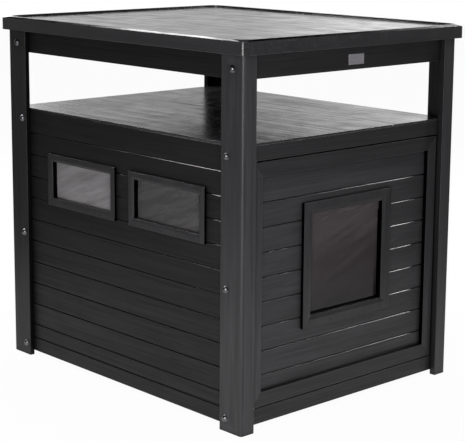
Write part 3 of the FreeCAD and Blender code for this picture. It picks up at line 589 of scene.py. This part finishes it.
def along(axis, fine=240, slow=5):
    """Cells per metre for grain that runs along an axis."""
    return tuple(slow if axis == name else fine for name in "xyz")


def board_finish(name, cells, dark, light, rough, emboss, gloss, crease_shade_share=0.85, lip_shade_share=None,
                 shelter=None, shelter_shade_share=0.95, front=(1, 0, 0)):
    """Charcoal board: the two tones of its grain, roughness, emboss depth in metres and gloss.

    The shares say how far corners, leaning bevels and sheltered faces go to black as painted
    shade. shelter names the mask of the sheltered faces, and front is the way that a piece with a
    reveal looks.
    """
    material, tree, shader = new_material(name)
    place = add_node(tree, "ShaderNodeTexCoord").outputs["Object"]
    grain = place_group(tree, grain_group, place=place, cells=cells)
    leaning = place_group(tree, lip_group)
    wear = place_group(tree, wear_group)
    dust = place_group(tree, dust_group)
    tone = gather(tree, "ADD", (grain["Streaks"], STREAK_TONE), (grain["Bands"], BAND_TONE),
                  (grain["Plank"], PLANK_TONE))
    colour = blend_colours(tree, tone, grey(dark), grey(light))
    for mask, share, level in ((wear["Wear"], WORN_SHARE, WORN_GREY),
                               (dust["Dust"], DUST_SHARE, DUST_GREY)):
        colour = blend_colours(tree, maths(tree, "MULTIPLY", mask, share), colour, grey(level))
    crease_shade = place_group(tree, crease_shade_group)["Crease Shade"]
    painted_shades = [(crease_shade, crease_shade_share), (leaning["Soffit"], SOFFIT_SHADE_SHARE)]
    if shelter:
        painted_shades.append((place_group(tree, shelter_group, front=front)[shelter], shelter_shade_share))
    if lip_shade_share is not None:
        painted_shades.append((leaning["Lip"], lip_shade_share))
    # Painted shade: corners, faces that look down, sheltered faces and leaning bevels go to near
    # black and metallic.
    painted_shade = gather(tree, "MAXIMUM", *painted_shades)
    fill(tree, shader.inputs["Base Color"], blend_colours(tree, painted_shade, colour, grey(PAINTED_SHADE_GREY)))
    fill(tree, shader.inputs["Metallic"], painted_shade)
    change = gather(tree, "ADD", (grain["Streaks"], STREAK_ROUGH), (dust["Smudge"], SMUDGE_ROUGH),
                    (leaning["Lip"], LIP_ROUGH - rough))
    fill(tree, shader.inputs["Roughness"], maths(tree, "ADD", change, rough, clamp=True))
    fill(tree, shader.inputs["Specular IOR Level"], gloss)
    uncut = maths(tree, "SUBTRACT", 1.0, leaning["Lip"])
    height = maths(tree, "MULTIPLY", grain["Height"], uncut)
    relief = add_node(tree, "ShaderNodeBump", {"Height": height, "Distance": emboss,
                                               "Normal": wear["Rounded"]})
    fill(tree, shader.inputs["Normal"], relief.outputs["Normal"])
    return material


print("cells per metre of a board along z:", along("z"))

# %% [markdown]
# ## Finish: walls, door and rails
#
# The planks and the rails lie level, so their grain runs along y on the sides and along x at the
# front and the back. The walls get the darkest tones, the door paler ones, and the rails tones
# between the two. The skin is one and the same, so these differences are painted shade and light:
# the walls and rails stand in less light than the door.

# %% Walls, door and rails
# Painted shade and light: the walls and rails get darker tones than the door.
wall_board = board_finish("charcoal wall planks", along("y"), dark=0.002, light=0.013, rough=0.50,
                          emboss=0.30 * MM, gloss=0.20)
dressed += dress(wall_board, "side_planks", "bottom_rail_left", "bottom_rail_right", "apron_left",
                 "apron_right")
door_board = board_finish("charcoal door planks", along("x"), dark=0.013, light=0.033, rough=0.48,
                          emboss=0.25 * MM, gloss=0.25)
dressed += dress(door_board, "door_planks", "back_planks")
rail_board = board_finish("charcoal rails", along("x"), dark=0.008, light=0.023, rough=0.48,
                          emboss=0.22 * MM, gloss=0.25)
dressed += dress(rail_board, "door_rail", "bottom_rail_front", "bottom_rail_back", "apron_front",
                 "apron_back", "shelf_rail")

# %% [markdown]
# ## Finish: posts and stiles
#
# The posts and the door's stiles stand upright, so their grain does too. The front posts get paler
# tones than the walls, a painted sheen for the light that their upright grain catches. Their inner
# faces look into the gap beside the door or under the top, and are painted black as shade. The
# posts at the back stand in less light, so they get darker tones: painted shade.

# %% Posts and stiles
UPRIGHT_GRAIN = along("z", fine=210)
# Painted sheen: the front posts get paler tones than the walls.
post_board = board_finish("charcoal posts", UPRIGHT_GRAIN, dark=0.014, light=0.036, rough=0.42,
                          emboss=0.25 * MM, gloss=0.30, shelter="Inward", shelter_shade_share=0.35)
dressed += dress(post_board, "post_front", "front_jamb", "corner_battens", "panel_battens")
# Painted shade: the back posts get darker tones, for they stand in less light.
back_post_board = board_finish("charcoal back posts", UPRIGHT_GRAIN, dark=0.008, light=0.024,
                               rough=0.44, emboss=0.25 * MM, gloss=0.22, shelter="Inward",
                               shelter_shade_share=0.6)
dressed += dress(back_post_board, "post_back")
# Painted shade: the stiles' inner faces go to black.
stile_board = board_finish("charcoal door stiles", UPRIGHT_GRAIN, dark=0.014, light=0.034,
                           rough=0.42, emboss=0.25 * MM, gloss=0.28, shelter="Reveal",
                           front=(0, 1, 0))
dressed += dress(stile_board, "door_stile")

# %% [markdown]
# ## Finish: table top and shelf
#
# Both lie flat and are seen almost edge on, so they mirror the white room behind them. That is
# what turns a charcoal board pale. The top is smoother than the walls, for wiping, and its streaks
# show as soft changes in the mirror. The bevel round it reads as a black line, so its lips are
# painted black: painted shade. The shelf is a ribbed board: its grain is coarser and runs from
# front to back.

# %% Table top and shelf
# Painted shade: the bevel round the top goes to black.
top_board = board_finish("charcoal table top", along("y", fine=120, slow=4), dark=0.014,
                         light=0.030, rough=0.20, emboss=0.03 * MM, gloss=0.72, crease_shade_share=0.2,
                         lip_shade_share=0.95)
dressed += dress(top_board, "table_top")
shelf_board = board_finish("charcoal shelf", along("y", fine=130, slow=3), dark=0.010, light=0.028,
                           rough=0.27, emboss=0.18 * MM, gloss=0.8)
dressed += dress(shelf_board, "shelf_board", "floor_board")

# %% [markdown]
# ## Finish: trim board
#
# The window frames, the entry frame and the rings behind the panes are a finer, smoother board, a
# touch lighter than the walls. The sides of the frames' members are reveals, painted black as
# shade.
# The grain is fine here and runs upright on all four members. On a real mitred frame it turns at
# each corner, and a mask that tells the members apart could do that.

# %% Trim board
TRIM_GRAIN = along("z", fine=170, slow=8)
# Painted shade: the sides of the frames' members go to black, on the windows and on the entry.
for row in ("front", "back"):
    window_trim = board_finish(f"charcoal trim, {row} windows", TRIM_GRAIN, dark=0.011,
                               light=0.034, rough=0.38, emboss=0.12 * MM, gloss=0.30,
                               shelter="Reveal")
    dressed += dress(window_trim, f"window_frame_left_{row}", f"window_frame_right_{row}")
entry_trim = board_finish("charcoal trim, entry", TRIM_GRAIN, dark=0.010, light=0.028, rough=0.40,
                          emboss=0.10 * MM, gloss=0.26, shelter="Reveal", front=(0, 1, 0))
dressed += dress(entry_trim, "entry_")
plain_trim = board_finish("charcoal blocks", along("x"), dark=0.010, light=0.022, rough=0.50,
                          emboss=0.10 * MM, gloss=0.25)
dressed += dress(plain_trim, "pane_retainers", "corner_blocks", "floor_cleats")

# %% [markdown]
# ## Finish: smoked acrylic
#
# The window panes, the flap and its rail are thin dark acrylic. It is see-through, but so dark
# that the room mirrored in it is brighter than what lies behind it. A slanting haze of fine
# scratches lies in it. The far panes are painted paler than the near ones, and the flap is painted
# paler from its foot to its head: painted reflection of the lit room, so the tone is given at foot
# and head.

# %% Smoked acrylic
HAZE_SLANT = math.radians(18)
HAZE_CELLS = (9, 9, 70)
HAZE_SWING = (0.85, 1.25)
HAZE_ROUGH = (0.05, 0.12)
HAZE_CLOSES = 0.06
PANE_TINT = (1.04, 1.0, 1.03)
FLAP_TINT = (1.14, 0.96, 1.0)
PANE_SPAN = (0.36, 0.44)
FLAP_SPAN = (0.20, 0.39)


def acrylic_finish(name, foot, head, closed, across, tint=PANE_TINT, gloss=0.5, span=PANE_SPAN):
    """Dark acrylic: its tones at foot and head, a painted reflection between them, how closed it
    is, the axis that its surface faces, its tint, its gloss, and the heights of foot and head in
    metres.
    """
    material, tree, shader = new_material(name)
    turn = tuple(HAZE_SLANT if across == axis else 0.0 for axis in "xyz")
    place = add_node(tree, "ShaderNodeTexCoord").outputs["Object"]
    slanted = add_node(tree, "ShaderNodeMapping", {"Vector": place, "Rotation": turn}).outputs[0]
    haze = place_group(tree, grain_group, place=slanted, cells=HAZE_CELLS)["Streaks"]
    # Painted reflection: the tone runs from the foot to the head, times the haze.
    level = maths(tree, "MULTIPLY", ramp(tree, upward(tree, place), *span, foot, head),
                  ramp(tree, haze, 0, 1, *HAZE_SWING))
    colour = blend_colours(tree, level, grey(0, tint), grey(1, tint))
    fill(tree, shader.inputs["Base Color"], colour)
    fill(tree, shader.inputs["Roughness"], ramp(tree, haze, 0, 1, *HAZE_ROUGH))
    fill(tree, shader.inputs["Alpha"], ramp(tree, haze, 0, 1, closed, closed + HAZE_CLOSES))
    fill(tree, shader.inputs["Specular IOR Level"], gloss)
    return material


near_acrylic = acrylic_finish("smoked acrylic, near panes", foot=0.068, head=0.068, closed=0.85,
                              across="x")
dressed += dress(near_acrylic, "window_pane_left_front", "window_pane_right_front")
# Painted reflection: the far panes get a paler tone than the near ones.
far_acrylic = acrylic_finish("smoked acrylic, far panes", foot=0.22, head=0.22, closed=0.88,
                             across="x")
dressed += dress(far_acrylic, "window_pane_left_back", "window_pane_right_back")
# Painted reflection: the flap pales from its foot to its head.
flap_acrylic = acrylic_finish("smoked acrylic, flap", foot=0.010, head=0.055, closed=0.82,
                              across="y", tint=FLAP_TINT, gloss=0.25, span=FLAP_SPAN)
dressed += dress(flap_acrylic, "flap_panel", "flap_rail")

# %% [markdown]
# ## Finish: metal and plastic
#
# The bolts have domed heads in black nickel, the plate on the apron is brushed aluminium with
# nothing on it, the pivots, the inserts and the catch plate are plain steel, and the bushes and
# the catch are plastic. Brushing and turning leave fine marks, so the same grain serves them
# with many more cells per metre.

# %% Metal and plastic
HARD_EDGE = 0.5 * MM
HARD_WEAR = 0.5
HARD_EMBOSS = 0.02 * MM


def hard_finish(name, dark, light, metallic, rough, cells):
    """Metal or hard plastic: two tones, how metallic, least and most roughness, and cells."""
    material, tree, shader = new_material(name)
    place = add_node(tree, "ShaderNodeTexCoord").outputs["Object"]
    grain = place_group(tree, grain_group, place=place, cells=cells)
    wear = place_group(tree, wear_group, edge_width=HARD_EDGE)
    colour = blend_colours(tree, grain["Streaks"], grey(dark), grey(light))
    worn = maths(tree, "MULTIPLY", wear["Wear"], HARD_WEAR)
    fill(tree, shader.inputs["Base Color"], blend_colours(tree, worn, colour, grey(light * 2)))
    fill(tree, shader.inputs["Roughness"], ramp(tree, grain["Streaks"], 0, 1, *rough))
    fill(tree, shader.inputs["Metallic"], metallic)
    relief = add_node(tree, "ShaderNodeBump", {"Height": grain["Height"], "Distance": HARD_EMBOSS})
    fill(tree, shader.inputs["Normal"], relief.outputs["Normal"])
    return material


bolt_black = hard_finish("black nickel", 0.11, 0.17, 1.0, (0.26, 0.36), (300, 300, 300))
dressed += dress(bolt_black, "bolts_", "top_screws")
plain_steel = hard_finish("plain steel", 0.38, 0.52, 1.0, (0.25, 0.4), (60, 60, 900))
dressed += dress(plain_steel, "inserts_", "door_pivots", "strike_plate")
plate_metal = hard_finish("brushed aluminium", 0.24, 0.40, 0.5, (0.35, 0.5), (30, 900, 900))
dressed += dress(plate_metal, "blank_plate")
nylon = hard_finish("natural nylon", 0.55, 0.66, 0.0, (0.4, 0.55), (200, 200, 200))
dressed += dress(nylon, "pivot_bushes")
black_plastic = hard_finish("black plastic", 0.012, 0.020, 0.0, (0.35, 0.5), (400, 400, 400))
dressed += dress(black_plastic, "magnet_catch")
print("without a finish:", sorted(set(nodes) - set(dressed)))
